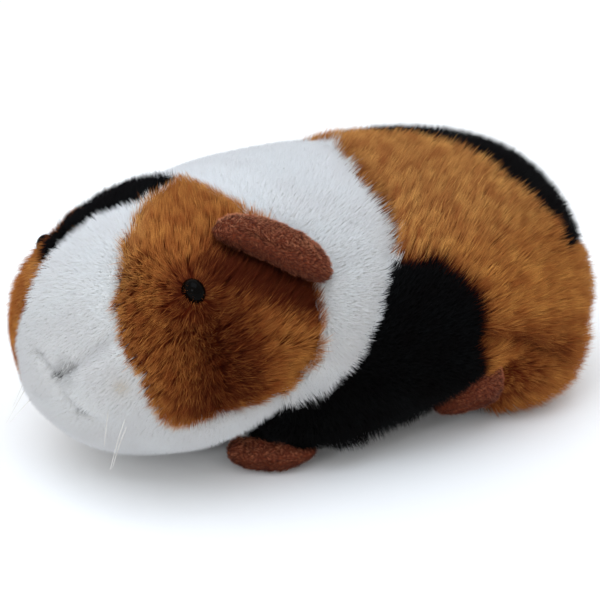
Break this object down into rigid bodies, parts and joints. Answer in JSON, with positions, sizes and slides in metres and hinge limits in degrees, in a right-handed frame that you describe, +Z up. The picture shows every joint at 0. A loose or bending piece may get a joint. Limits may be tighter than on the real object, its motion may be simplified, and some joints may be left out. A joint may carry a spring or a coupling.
{
  "type": "plush guinea pig",
  "caption": "Stuffed plush guinea pig lying on its belly, head turned to its left, in white, ginger and black pile with velour ears and feet.",
  "frame": {"origin": "on the floor, under the middle of the toy's length and width", "axes": "+Z up; the rump at +Y and the nose at -Y; the toy's own left side at +X"},
  "size_m": [0.1244, 0.2201, 0.0982],
  "materials": {
    "ginger_plush": "long combed pile",
    "white_plush": "fine fluffy pile",
    "black_plush": "short velvety pile",
    "brown_velour": "very short nap",
    "eye_plastic": "gloss"
  },
  "bodies": {
    "root": {"trunk": "ginger_plush", "haunch_left": "ginger_plush", "haunch_right": "ginger_plush", "neck": "white_plush", "head": "white_plush", "foreleg_left": "black_plush", "foreleg_right": "black_plush", "ear_left": "brown_velour", "ear_right": "brown_velour", "forepaw_left": "brown_velour", "forepaw_right": "brown_velour", "hindfoot_left": "brown_velour", "hindfoot_right": "brown_velour", "eye_left": "eye_plastic", "eye_right": "eye_plastic"}
  },
  "joints": []
}
